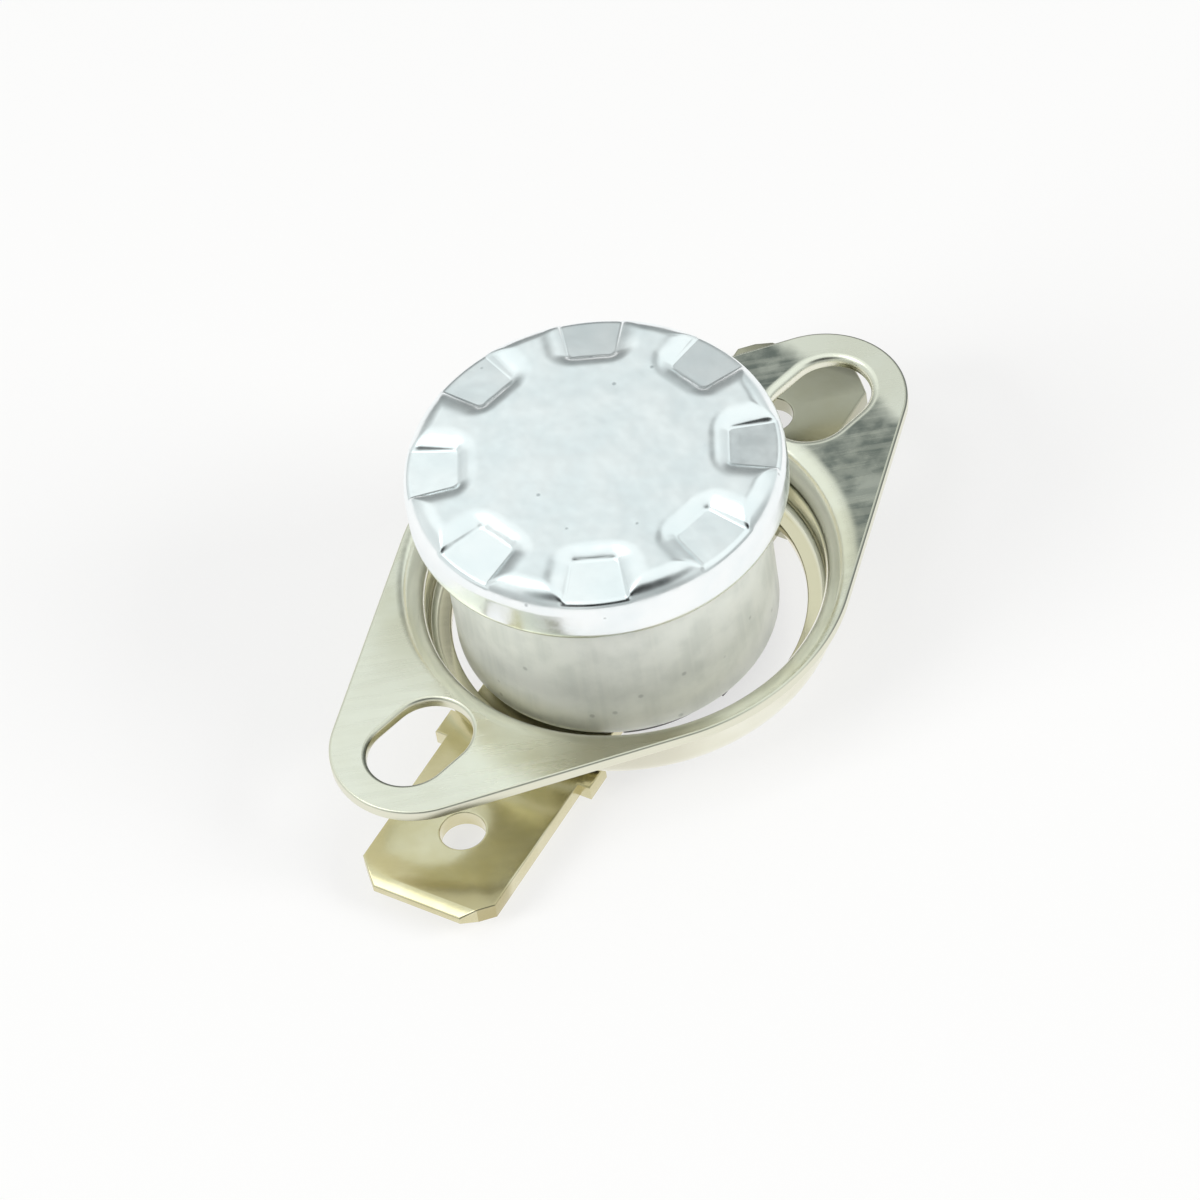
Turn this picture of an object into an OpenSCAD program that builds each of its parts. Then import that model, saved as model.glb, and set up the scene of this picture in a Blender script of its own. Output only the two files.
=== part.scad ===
// Snap-disc bimetal thermostat with a loose mounting bracket and two blade terminals.
// Millimetres. The origin is the centre of the sensing face, +Z points out of that face,
// and +X runs along the ears of the bracket.

/* [Sensing cup] */
// Diameter of the widened rim
rim_d = 15.8; // [14.5:0.1:18]
// Height of the widened rim, down to the underside of its shoulder
rim_h = 2.75; // [2.6:0.05:3.2]
// Diameter of the necked-in wall
neck_d = 13.6; // [13.2:0.1:14]
// Height of the whole cup
cup_h = 10.15; // [10:0.05:12]
// Thickness of the drawn wall
cup_wall = 0.4; // [0.3:0.05:0.45]
// Thickness of the sensing face
face_t = 0.5; // [0.35:0.05:0.6]
// Radius round the edge of the sensing face
face_edge_r = 1.1; // [0.6:0.05:1.2]
// Radius under the rim
shoulder_r = 0.6; // [0.5:0.05:0.7]
// Radius where the shoulder turns into the neck
neck_fillet_r = 0.35; // [0.2:0.05:0.4]
// Radius of the rolled bottom edge
roll_r = 0.6; // [0.5:0.05:0.7]
// Width of the rolled bottom edge, measured in from the neck
roll_w = 0.95; // [0.8:0.05:1.1]

/* [Rim pockets] */
// Number of pockets pressed into the rim
pocket_count = 8; // [6:1:10]
// Angle of the first pocket
pocket_phase = 0; // [0:1:44]
// Radial length of a pocket
pocket_l = 3.05; // [2.5:0.05:4]
// Width of a pocket at its inner end
pocket_inner_w = 2.95; // [2.2:0.05:3.2]
// Width of a pocket at the rim
pocket_rim_w = 4.5; // [3.5:0.05:4.6]
// Depth of a pocket
pocket_depth = 0.45; // [0.2:0.05:0.5]
// Width in plan of the sloped pocket walls
pocket_slope_w = 0.6; // [0.4:0.05:0.7]

/* [Mounting bracket] */
// Distance between the centres of the two slots
slot_spacing = 24; // [23:0.1:28]
// Width of a slot
slot_w = 3.5; // [2.8:0.1:4]
// Length of a slot
slot_l = 4.8; // [4.2:0.1:4.9]
// Radius of an ear
ear_r = 3.75; // [3.3:0.05:5]
// Outer radius of the ring
ring_r = 9.65; // [9:0.05:11]
// Thickness of the sheet
sheet_t = 0.5; // [0.3:0.05:0.6]
// Inner radius of the drawn collar
collar_r = 8.4; // [8.2:0.05:8.6]
// Radius over the top edge of the collar
collar_edge_r = 1.15; // [0.8:0.05:1.2]
// Depth of the bracket, from its top face to the underside of its lip
bracket_depth = 3.05; // [2.6:0.05:3.5]
// Radius of the hole inside the lip
lip_hole_r = 7.5; // [7.3:0.05:7.6]
// Inner radius of the bend between collar and lip
lip_bend_r = 0.4; // [0.2:0.05:0.45]
// How far the loose bracket lies off the axis, along the ears
bracket_shift_x = 0.35; // [0:0.05:0.4]
// How far the loose bracket lies off the axis, across the ears
bracket_shift_y = -0.28; // [-0.35:0.01:0]
// Gap between the lip of the bracket and the blades
bracket_gap = 0.15; // [0.05:0.05:0.5]

/* [Blade terminals] */
// Width of a blade
blade_w = 6.3; // [4.8:0.1:6.8]
// Thickness of a blade
blade_t = 0.8; // [0.5:0.1:1]
// Distance of the blade tip from the axis
blade_reach = 16.5; // [15:0.1:20]
// Angle between the blades and the ears
blade_angle = 15; // [0:1:60]
// Sideways offset of each blade from the axis
blade_offset = 0.4; // [0:0.05:0.6]
// Distance of the blade hole from the tip
blade_hole_inset = 3.9; // [3:0.1:5]
// Diameter of the blade hole
blade_hole_d = 1.9; // [1.4:0.1:2.2]
// Length of the tip bevels
tip_bevel_l = 0.55; // [0.4:0.05:1.2]
// Depth of the tip bevel on each face
tip_bevel_t = 0.22; // [0.1:0.02:0.24]
// Corner chamfer at the tip
tip_chamfer = 1.1; // [0.5:0.1:1.6]
// Distance of the stop shoulders from the axis
shoulder_reach = 8.5; // [8.1:0.1:10]
// Length of a stop shoulder along the blade
shoulder_l = 1.3; // [0.8:0.1:1.6]
// Sideways step of a stop shoulder
shoulder_step = 0.55; // [0.3:0.05:1]

/* [Base] */
// Distance from the underside of the cup to the top of the blades
base_stand = 0.4; // [0.3:0.05:1]
// Diameter of the cavity
cavity_d = 10.6; // [10.5:0.1:10.8]
// Depth of the cavity below the guide plate
cavity_h = 4.7; // [4.6:0.05:5.2]
// Thickness of the barrier between the terminals
barrier_t = 2; // [1.2:0.1:2.4]
// Radius round the lower edge of the base
base_edge_r = 0.3; // [0.1:0.05:0.4]

/* [Rivets] */
// Distance of each rivet from the axis, along its blade
rivet_reach = 3.5; // [3.4:0.05:3.55]
// Diameter of the rivet shank
rivet_d = 1.8; // [1.4:0.1:1.9]
// Diameter of the outer head
rivet_head_d = 3.4; // [2.8:0.1:4]
// Height of the outer head
rivet_head_h = 0.6; // [0.4:0.05:0.9]
// Diameter of the dimple in the outer head
rivet_dimple_d = 1.3; // [1:0.1:1.5]
// Depth of the dimple in the outer head
rivet_dimple_h = 0.35; // [0.2:0.05:0.5]
// Diameter of the upset inner head
rivet_upset_d = 2.3; // [2.2:0.05:2.35]
// Height of the upset inner head
rivet_upset_h = 0.35; // [0.25:0.05:0.4]

/* [Snap mechanism] */
// Diameter of the bimetal disc
disc_d = 13.6; // [13:0.1:14]
// Thickness of the bimetal disc
disc_t = 0.2; // [0.15:0.01:0.25]
// Height of the dome of the disc at rest
disc_dome = 0.3; // [0.2:0.02:0.34]
// Thickness of the flange of the guide plate
guide_flange_t = 0.4; // [0.3:0.05:0.45]
// Depth of the guide plate below the shoulder of the cup
guide_depth = 1.4; // [1.2:0.1:1.6]
// Depth of the well under the disc
guide_well = 0.6; // [0.5:0.05:0.8]
// Radial width of the seat under the disc
guide_seat_w = 1; // [0.6:0.1:1.2]
// Length of the guide boss below the guide plate
guide_boss_l = 1; // [0.5:0.1:1.1]
// Wall of the guide boss
guide_boss_wall = 0.85; // [0.6:0.05:0.95]
// Diameter of the transfer pin
pin_d = 2; // [1.6:0.1:2.2]
// Gap between the pin and the disc at rest
pin_disc_gap = 0.2; // [0.1:0.02:0.3]
// Radius of the rounded lower end of the pin
pin_nose_r = 1.4; // [1.2:0.1:2]
// Height of the spacer under the arm
arm_support_h = 2.2; // [2.1:0.05:2.3]
// Diameter of the spacer under the arm
arm_support_d = 2.6; // [2.5:0.1:2.7]
// Thickness of the spring arm
arm_t = 0.2; // [0.1:0.02:0.24]
// Width of the spring arm
arm_w = 2.4; // [1.8:0.1:2.6]
// Distance of the contacts from the axis
contact_reach = 3.3; // [3.2:0.05:3.4]
// Diameter of the contacts
contact_d = 1.7; // [1.4:0.1:1.8]
// Thickness of each contact
contact_t = 0.4; // [0.3:0.05:0.45]
// Diameter of the contact tails
tail_d = 0.9; // [0.6:0.1:1]
// Diameter of the peened end of each contact tail
peen_d = 1.4; // [1.2:0.1:1.5]
// Height of the peened end of each contact tail
peen_h = 0.15; // [0.1:0.01:0.2]
// Thickness of the fixed contact bracket
hook_t = 0.4; // [0.3:0.05:0.45]
// Width of the fixed contact bracket
hook_w = 2.2; // [1.8:0.1:2.4]

/* [Clearances] */
// Radial gap between the cup and the pieces inside its neck
neck_gap = 0.08; // [0.03:0.01:0.15]
// Radial gap between the rim of the cup and the guide plate
rim_gap = 0.25; // [0.1:0.05:0.4]
// Radial gap between the rolled edge and the base
roll_gap = 0.12; // [0.05:0.01:0.3]
// Radial gap round shanks, tails and the pin
bore_gap = 0.05; // [0.02:0.01:0.1]
// Gap round the root of a blade in its recess
recess_gap = 0.1; // [0.05:0.05:0.3]
// Gap between parts that meet but move apart
touch_gap = 0.04; // [0.02:0.01:0.06]

/* [Hidden] */
$fn = 96;

rim_r = rim_d / 2;
neck_r = neck_d / 2;
neck_bore_r = neck_r - cup_wall;
rim_bore_r = rim_r - cup_wall;
roll_hole_r = neck_r - roll_w;
// Length by which cutting shapes stand past what they cut
over = 1;
// Inset of the straight sides of the bracket from the tangents of its circles
side_inset = 0.004;

// Heights, from the sensing face down
ledge_z = -rim_h + cup_wall;
guide_top_z = ledge_z + guide_flange_t;
guide_bottom_z = ledge_z - guide_depth;
cup_bottom_z = -cup_h;
roll_top_z = cup_bottom_z + cup_wall;
blade_top_z = cup_bottom_z - base_stand;
blade_bottom_z = blade_top_z - blade_t;
rest_z = blade_bottom_z - rivet_head_h;
floor_z = guide_bottom_z - cavity_h;
arm_bottom_z = floor_z + arm_support_h;
arm_top_z = arm_bottom_z + arm_t;
contact_z = arm_top_z + contact_t;
hook_bottom_z = contact_z + touch_gap + contact_t;
hook_top_z = hook_bottom_z + hook_t;
disc_center_z = guide_top_z + disc_dome;
pin_top_z = disc_center_z - pin_disc_gap;
pin_bottom_z = arm_top_z + touch_gap;
bracket_bottom_z = blade_top_z + bracket_gap;
bracket_top_z = bracket_bottom_z + bracket_depth;

// Plan values
guide_body_r = neck_bore_r - neck_gap;
guide_flange_r = rim_bore_r - rim_gap;
boss_r = roll_hole_r - roll_gap;
cavity_r = cavity_d / 2;
pin_bore_r = pin_d / 2 + bore_gap;
rivet_bore_r = rivet_d / 2 + bore_gap;
tail_bore_r = tail_d / 2 + bore_gap;
// The arm lies on the line through the two rivets
rivet_line_reach = norm([rivet_reach, blade_offset]);
arm_angle = blade_angle - atan2(blade_offset, rivet_reach);
hook_back = sqrt(pow(cavity_r, 2) - pow(hook_w / 2, 2)) - touch_gap;

// Half section with rounded outer corners, from z0 up to z1
module rounded_block(r, z0, z1, top_r = 0, bottom_r = 0) {
    difference() {
        translate([0, z0]) square([r, z1 - z0]);
        if (top_r > 0) translate([r - top_r, z1 - top_r]) square(top_r + over);
        if (bottom_r > 0) translate([r - bottom_r, z0 + bottom_r - 2 * over]) square([over, 2 * over]);
    }
    if (top_r > 0) translate([r - top_r, z1 - top_r]) circle(top_r);
    if (bottom_r > 0) translate([r - bottom_r, z0 + bottom_r]) circle(bottom_r);
}

// Half section of the material in an inside corner at x, z
module corner_fillet(x, z, r) {
    difference() {
        translate([x - over / 100, z - r]) square([r + over / 100, r + over / 100]);
        translate([x + r, z - r]) circle(r);
    }
}

// Solid on one side of a sloped pocket wall that runs along X through the origin
module pocket_side(x_length) {
    rise = over * pocket_slope_w / pocket_depth;
    rotate([90, 0, 90])
        linear_extrude(height = x_length, center = true)
            polygon([[-x_length, -pocket_depth], [-pocket_slope_w, -pocket_depth], [rise, over],
                [-x_length, over]]);
}

// Space of one pocket, open at the rim and sloped on its other three sides
module pocket() {
    inner_x = rim_r - pocket_l;
    flare = atan2(pocket_rim_w - pocket_inner_w, 2 * pocket_l);
    intersection() {
        translate([inner_x, pocket_inner_w / 2, 0]) rotate([0, 0, flare]) pocket_side(4 * rim_r);
        translate([inner_x, -pocket_inner_w / 2, 0]) rotate([0, 0, -flare]) mirror([0, 1, 0])
            pocket_side(4 * rim_r);
        translate([inner_x, 0, 0]) rotate([0, 0, 90]) pocket_side(4 * rim_r);
    }
}

module pockets() {
    for (i = [0 : pocket_count - 1])
        rotate([0, 0, pocket_phase + i * 360 / pocket_count]) pocket();
}

module sensing_cup() color("#c9ced2") {
    difference() {
        rotate_extrude() {
            rounded_block(rim_r, -rim_h, 0, face_edge_r, shoulder_r);
            rounded_block(neck_r, cup_bottom_z, -rim_h / 2, bottom_r = roll_r);
            corner_fillet(neck_r, -rim_h, neck_fillet_r);
        }
        difference() {
            rotate_extrude() {
                rounded_block(rim_bore_r, ledge_z, -face_t, face_edge_r - cup_wall, shoulder_r - cup_wall);
                rounded_block(neck_bore_r, roll_top_z, ledge_z / 2, bottom_r = roll_r - cup_wall);
                corner_fillet(neck_bore_r, ledge_z, neck_fillet_r + cup_wall);
                translate([0, cup_bottom_z - over]) square([roll_hole_r, cup_h]);
            }
            translate([0, 0, -face_t]) pockets();
        }
        pockets();
    }
}

module bimetal_disc() color("#b9b3a4") {
    disc_r = disc_d / 2;
    dome_r = (pow(disc_r, 2) + pow(disc_dome, 2)) / (2 * disc_dome);
    center_z = guide_top_z + touch_gap + disc_dome - dome_r;
    rotate_extrude() intersection() {
        difference() {
            translate([0, center_z + disc_t]) circle(dome_r);
            translate([0, center_z]) circle(dome_r);
        }
        translate([0, guide_top_z]) square([disc_r, disc_dome + disc_t + over]);
    }
}

module guide_plate() color("#2b2724") {
    well_r = guide_flange_r - guide_seat_w;
    boss_bottom_z = guide_bottom_z - guide_boss_l;
    difference() {
        union() {
            translate([0, 0, ledge_z]) cylinder(r = guide_flange_r, h = guide_flange_t);
            translate([0, 0, guide_bottom_z]) cylinder(r = guide_body_r, h = guide_depth);
            translate([0, 0, boss_bottom_z]) cylinder(r = pin_bore_r + guide_boss_wall, h = guide_boss_l);
        }
        translate([0, 0, guide_top_z - guide_well]) cylinder(r = well_r, h = guide_well + over);
        translate([0, 0, boss_bottom_z - over])
            cylinder(r = pin_bore_r, h = guide_boss_l + guide_depth + over);
    }
}

module transfer_pin() color("#efece2") {
    nose_h = pin_nose_r - sqrt(pow(pin_nose_r, 2) - pow(pin_d / 2, 2));
    rotate_extrude() {
        translate([0, pin_bottom_z + nose_h]) square([pin_d / 2, pin_top_z - pin_bottom_z - nose_h]);
        intersection() {
            translate([0, pin_bottom_z + pin_nose_r]) circle(pin_nose_r);
            translate([0, pin_bottom_z]) square([pin_d / 2, nose_h]);
        }
    }
}

module at_rivets() {
    for (turn = [0, 180])
        rotate([0, 0, blade_angle + turn]) translate([rivet_reach, -blade_offset, 0]) children();
}

// Lower boss of the base, with a recess for the root of each blade and the barrier between them
module base_boss() {
    recess_w = blade_w + 2 * recess_gap;
    difference() {
        rotate_extrude() rounded_block(boss_r, blade_bottom_z, roll_top_z + cup_wall, bottom_r = base_edge_r);
        for (turn = [0, 180])
            rotate([0, 0, blade_angle + turn])
                translate([barrier_t / 2, -blade_offset - recess_w / 2, blade_bottom_z - over])
                    cube([2 * boss_r, recess_w, blade_t + over]);
    }
    barrier_h = rivet_head_h + blade_t;
    rotate([0, 0, blade_angle]) intersection() {
        translate([-barrier_t / 2, -boss_r, rest_z]) cube([barrier_t, 2 * boss_r, barrier_h]);
        translate([0, 0, rest_z - over]) cylinder(r = boss_r - base_edge_r, h = barrier_h + 2 * over);
    }
}

module base() color("#1f1c1b") {
    difference() {
        union() {
            translate([0, 0, roll_top_z]) cylinder(r = guide_body_r, h = guide_bottom_z - roll_top_z);
            base_boss();
        }
        translate([0, 0, floor_z]) cylinder(r = cavity_r, h = cavity_h + over);
        at_rivets() translate([0, 0, blade_top_z - over])
            cylinder(r = rivet_bore_r, h = floor_z - blade_top_z + 2 * over);
    }
}

module arm_support() color("#b8974f") {
    rotate([0, 0, arm_angle]) translate([-rivet_line_reach, 0, floor_z]) difference() {
        cylinder(d = arm_support_d, h = arm_support_h);
        translate([0, 0, -over]) cylinder(r = rivet_bore_r, h = arm_support_h + 2 * over);
    }
}

module contact_arm() color("#b9824a") {
    rotate([0, 0, arm_angle]) translate([0, 0, arm_bottom_z]) linear_extrude(height = arm_t) difference() {
        union() {
            translate([-rivet_line_reach, -arm_w / 2]) square([rivet_line_reach + contact_reach, arm_w]);
            translate([-rivet_line_reach, 0]) circle(d = arm_w);
            translate([contact_reach, 0]) circle(d = arm_w);
        }
        translate([-rivet_line_reach, 0]) circle(rivet_bore_r);
        translate([contact_reach, 0]) circle(tail_bore_r);
    }
}

// Riveted contact with its face at the origin, facing up, and its tail through a sheet below
module contact(sheet) {
    translate([0, 0, -contact_t]) cylinder(d = contact_d, h = contact_t);
    translate([0, 0, -contact_t - sheet]) cylinder(d = tail_d, h = sheet + contact_t / 2);
    translate([0, 0, -contact_t - sheet - peen_h]) cylinder(d = peen_d, h = peen_h);
}

module moving_contact() color("#d8d6cf") {
    rotate([0, 0, arm_angle]) translate([contact_reach, 0, contact_z]) contact(arm_t);
}

module fixed_contact() color("#d8d6cf") {
    rotate([0, 0, arm_angle]) translate([contact_reach, 0, contact_z + touch_gap])
        mirror([0, 0, 1]) contact(hook_t);
}

module fixed_contact_bracket() color("#b8974f") {
    foot_front = rivet_line_reach - rivet_upset_d / 2;
    top_front = contact_reach - contact_d / 2;
    rotate([0, 0, arm_angle]) difference() {
        translate([0, hook_w / 2, 0]) rotate([90, 0, 0]) linear_extrude(height = hook_w) {
            translate([foot_front, floor_z]) square([hook_back - hook_t - foot_front, hook_t]);
            translate([top_front, hook_bottom_z]) square([hook_back - hook_t - top_front, hook_t]);
            translate([hook_back - hook_t, floor_z + hook_t])
                square([hook_t, hook_bottom_z - floor_z - hook_t]);
            for (bend_z = [floor_z + hook_t, hook_bottom_z])
                intersection() {
                    translate([hook_back - hook_t, bend_z]) circle(hook_t);
                    translate([hook_back - hook_t, bend_z - hook_t]) square([hook_t, 2 * hook_t]);
                }
        }
        translate([rivet_line_reach, 0, floor_z - over]) cylinder(r = rivet_bore_r, h = hook_t + 2 * over);
        translate([contact_reach, 0, hook_bottom_z - over / 10])
            cylinder(r = tail_bore_r, h = hook_t + over);
    }
}

// Blade outline in plan, along +X from its root at the barrier
module blade_outline() {
    root = barrier_t / 2 + recess_gap;
    half = blade_w / 2;
    translate([0, -blade_offset]) {
        polygon([[root, -half], [blade_reach - tip_chamfer, -half], [blade_reach, -half + tip_chamfer],
            [blade_reach, half - tip_chamfer], [blade_reach - tip_chamfer, half], [root, half]]);
        translate([shoulder_reach - shoulder_l, -half - shoulder_step])
            square([shoulder_l, blade_w + 2 * shoulder_step]);
    }
}

module blade() {
    translate([0, 0, blade_bottom_z]) difference() {
        linear_extrude(height = blade_t) blade_outline();
        translate([rivet_reach, -blade_offset, -over]) cylinder(r = rivet_bore_r, h = blade_t + 2 * over);
        translate([blade_reach - blade_hole_inset, -blade_offset, -over])
            cylinder(d = blade_hole_d, h = blade_t + 2 * over);
        for (side = [0, 1])
            translate([blade_reach, 0, side * blade_t]) mirror([0, 0, side])
                rotate([90, 0, 0]) linear_extrude(height = 2 * blade_w, center = true)
                    polygon([[-tip_bevel_l, 0], [-tip_bevel_l, -over], [over, -over],
                        [over, tip_bevel_t * (1 + over / tip_bevel_l)]]);
    }
}

module arm_terminal() color("#b9b08a") {
    rotate([0, 0, blade_angle + 180]) blade();
}

module contact_terminal() color("#b9b08a") {
    rotate([0, 0, blade_angle]) blade();
}

// Rivet with its outer head under the blade and its upset head at upset_z
module rivet(upset_z) {
    rotate_extrude() {
        difference() {
            rounded_block(rivet_head_d / 2, rest_z, blade_bottom_z, bottom_r = rivet_head_h / 2);
            translate([0, rest_z - over]) square([rivet_dimple_d / 2, rivet_dimple_h + over]);
        }
        translate([0, blade_bottom_z]) square([rivet_d / 2, upset_z - blade_bottom_z]);
        rounded_block(rivet_upset_d / 2, upset_z, upset_z + rivet_upset_h, top_r = rivet_upset_h / 2);
    }
}

module arm_rivet() color("#c2b27a") {
    rotate([0, 0, arm_angle]) translate([-rivet_line_reach, 0, 0]) rivet(arm_top_z);
}

module contact_rivet() color("#c2b27a") {
    rotate([0, 0, arm_angle]) translate([rivet_line_reach, 0, 0]) rivet(floor_z + hook_t);
}

// Upright block with the plan of the bracket: ring and ears, and sides that just cross their circles
module bracket_plan(height) {
    ear_at = [slot_spacing / 2, 0];
    touch = acos((ring_r - ear_r) / ear_at.x);
    ring_side = (ring_r - side_inset) * [cos(touch), sin(touch)];
    ear_side = ear_at + (ear_r - side_inset) * [cos(touch), sin(touch)];
    cylinder(r = ring_r, h = height);
    for (side = [-1, 1]) {
        translate(side * ear_at) cylinder(r = ear_r, h = height);
        linear_extrude(height = height)
            polygon([[0, 0], [side * ring_side.x, ring_side.y], [side * ear_side.x, ear_side.y],
                [side * ear_at.x, 0], [side * ear_side.x, -ear_side.y], [side * ring_side.x, -ring_side.y]]);
    }
}

// Half section of everything on or below a drawn face: flat ears at top_z and a collar at r,
// with a rounded edge between them
module below_face(r, edge_r, top_z) {
    difference() {
        translate([r, bracket_bottom_z - over]) square([slot_spacing, top_z - bracket_bottom_z + over]);
        translate([r - over, top_z - edge_r]) square([over + edge_r, edge_r + over]);
    }
    translate([r + edge_r, top_z - edge_r]) circle(edge_r);
}

// Half section of the sheet: what is below its upper face, less what is below its lower face
module bracket_section() {
    outer_r = collar_r + sheet_t;
    bend_x = collar_r - lip_bend_r;
    bend_z = bracket_bottom_z + sheet_t + lip_bend_r;
    bend_h = sheet_t + lip_bend_r;
    difference() {
        union() {
            below_face(collar_r, collar_edge_r, bracket_top_z);
            translate([lip_hole_r, bracket_bottom_z]) square([outer_r - lip_hole_r, sheet_t]);
            difference() {
                translate([bend_x, bracket_bottom_z]) square([bend_h, bend_h]);
                translate([bend_x, bend_z]) circle(lip_bend_r);
            }
        }
        below_face(outer_r, collar_edge_r - sheet_t, bracket_top_z - sheet_t);
        translate([0, bracket_bottom_z - 2 * over]) square([slot_spacing, 2 * over]);
        difference() {
            translate([bend_x, bracket_bottom_z - over]) square([bend_h + over, bend_h + over]);
            translate([bend_x, bend_z]) circle(bend_h);
        }
    }
}

module slot_outline() {
    half = (slot_l - slot_w) / 2;
    square([2 * half, slot_w], center = true);
    for (side = [-1, 1])
        translate([side * half, 0]) circle(d = slot_w);
}

module mounting_bracket() color("#c3c2b4") {
    translate([bracket_shift_x, bracket_shift_y, 0]) difference() {
        intersection() {
            rotate_extrude() bracket_section();
            translate([0, 0, bracket_bottom_z - over]) bracket_plan(bracket_depth + 2 * over);
        }
        for (side = [-1, 1])
            translate([side * slot_spacing / 2, 0, bracket_top_z - sheet_t - over])
                linear_extrude(height = sheet_t + 2 * over) slot_outline();
    }
}

sensing_cup();
bimetal_disc();
guide_plate();
transfer_pin();
base();
arm_support();
contact_arm();
moving_contact();
fixed_contact_bracket();
fixed_contact();
arm_terminal();
contact_terminal();
arm_rivet();
contact_rivet();
mounting_bracket();
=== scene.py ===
import math

import bmesh
import bpy
import numpy as np
from mathutils import Matrix, Vector, geometry


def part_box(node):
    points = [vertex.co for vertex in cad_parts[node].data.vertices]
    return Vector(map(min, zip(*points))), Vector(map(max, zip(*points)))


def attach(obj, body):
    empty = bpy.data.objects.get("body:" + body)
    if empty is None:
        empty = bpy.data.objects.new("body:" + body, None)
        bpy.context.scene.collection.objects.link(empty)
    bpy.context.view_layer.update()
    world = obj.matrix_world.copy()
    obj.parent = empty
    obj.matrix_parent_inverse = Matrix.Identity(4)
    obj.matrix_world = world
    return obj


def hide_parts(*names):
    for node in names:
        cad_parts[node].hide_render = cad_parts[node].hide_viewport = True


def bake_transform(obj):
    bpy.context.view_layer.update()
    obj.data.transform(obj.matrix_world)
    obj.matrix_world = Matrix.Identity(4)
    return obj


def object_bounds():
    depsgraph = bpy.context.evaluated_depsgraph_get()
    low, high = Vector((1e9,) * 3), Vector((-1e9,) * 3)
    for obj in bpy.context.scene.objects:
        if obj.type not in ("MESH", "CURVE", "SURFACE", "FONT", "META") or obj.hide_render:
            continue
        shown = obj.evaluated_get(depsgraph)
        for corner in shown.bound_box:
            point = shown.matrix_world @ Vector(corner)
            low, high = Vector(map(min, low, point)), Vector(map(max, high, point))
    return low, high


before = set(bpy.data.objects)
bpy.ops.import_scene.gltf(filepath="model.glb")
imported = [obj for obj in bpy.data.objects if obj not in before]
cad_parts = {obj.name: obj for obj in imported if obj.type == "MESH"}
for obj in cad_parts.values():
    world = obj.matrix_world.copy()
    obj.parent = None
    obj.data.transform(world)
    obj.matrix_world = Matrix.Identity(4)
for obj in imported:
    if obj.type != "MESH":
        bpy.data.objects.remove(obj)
cad_size = [list(corner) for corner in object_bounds()]


# Sensing cup: soft aluminium sheet drawn into a cup, its widened rim holding the snap disc.
# Eight pockets are pressed into the edge of the face and the mouth is rolled in under the base.
# The face is satin from the press tool; the neck is duller, with upright drawing lines.

MM = 0.001
RIM_R = 7.9
RIM_H = 2.75
NECK_R = 6.8
CUP_H = 10.15
CUP_WALL = 0.4
FACE_T = 0.5
FACE_EDGE_R = 1.1
SHOULDER_R = 0.6
NECK_FILLET_R = 0.35
ROLL_R = 0.6
MOUTH_R = 5.85
MOUTH_EDGE_R = 0.1
CUP_TURNS = 560

POCKETS = 8
POCKET_START_R = 4.7
POCKET_INNER_W = 3.7
POCKET_RIM_W = 5.1
POCKET_CORNER_R = 1.0
POCKET_SIDE_EASE = 0.8  # the side walls are gentler than the end wall by this share
POCKET_EDGE_R = 1.37
POCKET_WALL_TILT = math.radians(39)
POCKET_FLOOR_TILT = math.radians(4.5)
POCKET_MARGIN = 0.1

# Where a pocket runs out over the rounded edge, the crossing is softened by a share of its depth.
CROSSING_LEAST = 0.02
CROSSING_SHARE = 0.6
CROSSING_DEPTH = 0.3


def linear(colour):
    """An sRGB hex colour as linear RGBA."""
    parts = [int(colour[i : i + 2], 16) / 255 for i in (1, 3, 5)]
    return [c / 12.92 if c <= 0.04045 else ((c + 0.055) / 1.055) ** 2.4 for c in parts] + [1]


def node(owner, kind, inputs, **settings):
    """Adds a shader node with its settings, its inputs being values or sockets; gives its outputs."""
    made = owner.node_tree.nodes.new("ShaderNode" + kind)
    for name, value in settings.items():
        setattr(made, name, value)
    for name, value in inputs.items():
        if isinstance(value, bpy.types.NodeSocket):
            owner.node_tree.links.new(value, made.inputs[name])
        else:
            made.inputs[name].default_value = value
    return made.outputs


def new_material(name):
    """A material with an empty node tree, and the piece's own coordinates in metres."""
    made = bpy.data.materials.new(name)
    made.use_nodes = True
    made.node_tree.nodes.clear()
    return made, node(made, "TexCoord", {})["Object"]


def coat(material, colour, roughness, metallic, height, relief):
    """Ends a material: its shader, with height as a bump relief millimetres deep."""
    bump = node(material, "Bump", {"Height": height, "Distance": relief * MM, "Strength": 1.0})["Normal"]
    shader = node(material, "BsdfPrincipled", {
        "Base Color": colour, "Roughness": roughness, "Metallic": metallic, "Normal": bump})["BSDF"]
    node(material, "OutputMaterial", {"Surface": shader})


def arc(centre_r, centre_z, radius, start, end, steps):
    """Points of a round in a section, from start to end degrees."""
    angles = np.radians(np.linspace(start, end, steps + 1))
    return [(centre_r + radius * math.cos(a), centre_z + radius * math.sin(a)) for a in angles]


def line(start, end, steps):
    """Points of a straight run from start to end, without the first."""
    start, end = np.array(start), np.array(end)
    return [tuple(start + (end - start) * i / steps) for i in range(1, steps + 1)]


def revolve(section, turns, centre=(0, 0)):
    """Points, faces and rings of (radius, height) points turned round an upright line."""
    points, faces, rings = [], [], []
    angles = np.linspace(0, 2 * math.pi, turns, endpoint=False)
    for radius, height in section:
        first = len(points)
        if radius == 0:
            points.append((centre[0], centre[1], height))
            rings.append([first] * turns)
        else:
            points += [(centre[0] + radius * math.cos(a), centre[1] + radius * math.sin(a), height)
                       for a in angles]
            rings.append(list(range(first, first + turns)))
    for upper, lower in zip(rings, rings[1:]):
        for i in range(turns):
            j = (i + 1) % turns
            faces.append(list(dict.fromkeys([upper[i], lower[i], lower[j], upper[j]])))
    return points, faces, rings


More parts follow.
